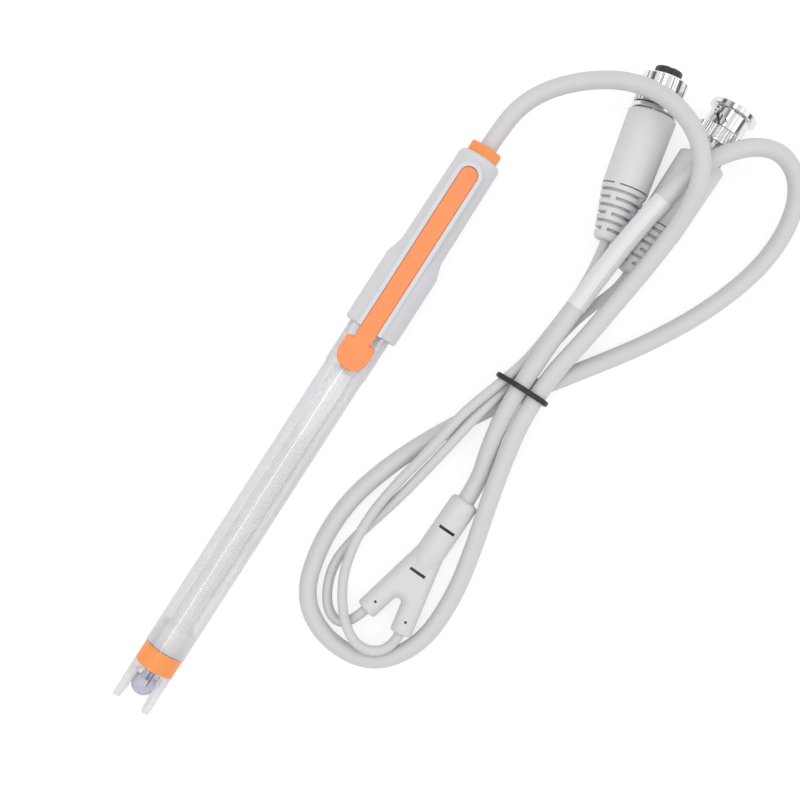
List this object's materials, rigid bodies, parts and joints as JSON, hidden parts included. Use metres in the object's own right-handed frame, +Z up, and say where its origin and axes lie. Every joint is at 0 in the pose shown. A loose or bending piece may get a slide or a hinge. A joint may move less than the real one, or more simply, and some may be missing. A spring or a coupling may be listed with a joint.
{
  "type": "ph electrode",
  "caption": "Rod-shaped combination pH electrode with a clear tube, a filler flap, a guarded glass bulb and a looped cable that splits to a screw plug and a bayonet plug.",
  "frame": {"origin": "on the table under the middle of the electrode, cords and plugs left out", "axes": "+X along the electrode towards its cable end, +Z up from the table"},
  "size_m": [0.2272, 0.0918, 0.0253],
  "materials": {
    "clear_tube": "clear moulded plastic, polished",
    "grey_moulding": "fine satin",
    "orange_rubber": "soft silicone, matt",
    "orange_plastic": "moulded, semi-gloss",
    "black_rubber": "matt",
    "clear_guard": "clear moulded plastic",
    "stem_glass": "clear blown glass",
    "silver_wire": "drawn wire",
    "dark_wire": "coated wire",
    "grey_seal": "matt",
    "black_sheath": "thin sheath",
    "white_ceramic": "porous",
    "grey_cable": "smooth flexible jacket",
    "white_label": "thin film sleeve",
    "tie_rubber": "smooth band",
    "splitter_rubber": "soft moulded, satin",
    "boot_rubber": "soft moulded, satin",
    "plug_chrome": "bright nickel plate",
    "black_insert": "moulded",
    "gold_contact": "thin gold plate",
    "white_insulator": "turned"
  },
  "bodies": {
    "electrode_body": {"tube": "clear_tube", "electrode_cap": "grey_moulding", "filler_strip": "orange_rubber", "gland_nut": "orange_plastic", "gland_bush": "black_rubber", "guard_ring": "orange_plastic", "guard": "clear_guard", "glass_stem": "stem_glass", "measuring_wire": "dark_wire", "stem_seal": "grey_seal", "top_plug": "grey_seal", "top_o_ring": "black_rubber", "reference_wire": "silver_wire", "temperature_probe": "black_sheath", "porous_junction": "white_ceramic", "main_cable": "grey_cable", "ph_tail": "grey_cable", "temperature_tail": "grey_cable", "cable_label": "white_label", "cable_tie": "tie_rubber", "splitter": "splitter_rubber", "screw_plug_boot": "boot_rubber", "bayonet_boot": "boot_rubber", "screw_plug_body": "plug_chrome", "screw_plug_insert": "black_insert", "screw_plug_contacts": "gold_contact", "bayonet_body": "plug_chrome", "bayonet_insulator": "white_insulator", "bayonet_pin": "gold_contact", "bayonet_washer": "plug_chrome", "bayonet_gasket": "black_rubber"},
    "filler_flap_body": {"filler_flap": "orange_rubber"},
    "screw_ring_body": {"screw_plug_ring": "plug_chrome"},
    "bayonet_ring_body": {"bayonet_ring": "plug_chrome"}
  },
  "joints": [
    {"name": "filler_flap_hinge", "type": "hinge", "parent": "electrode_body", "child": "filler_flap_body", "pos_m": [0.03037, 0, 0.01542], "axis": [0, 1, 0], "range_deg": [0, 80], "stiffness_Nm_per_rad": 0.0005},
    {"name": "screw_ring_turn", "type": "hinge", "parent": "electrode_body", "child": "screw_ring_body", "pos_m": [0.12936, -0.03171, 0.00685], "axis": [0.977, 0.213, 0], "continuous": true},
    {"name": "bayonet_ring_turn", "type": "hinge", "parent": "electrode_body", "child": "bayonet_ring_body", "pos_m": [0.1308, -0.05135, 0.007], "axis": [1, -0.0052, 0], "continuous": true}
  ]
}
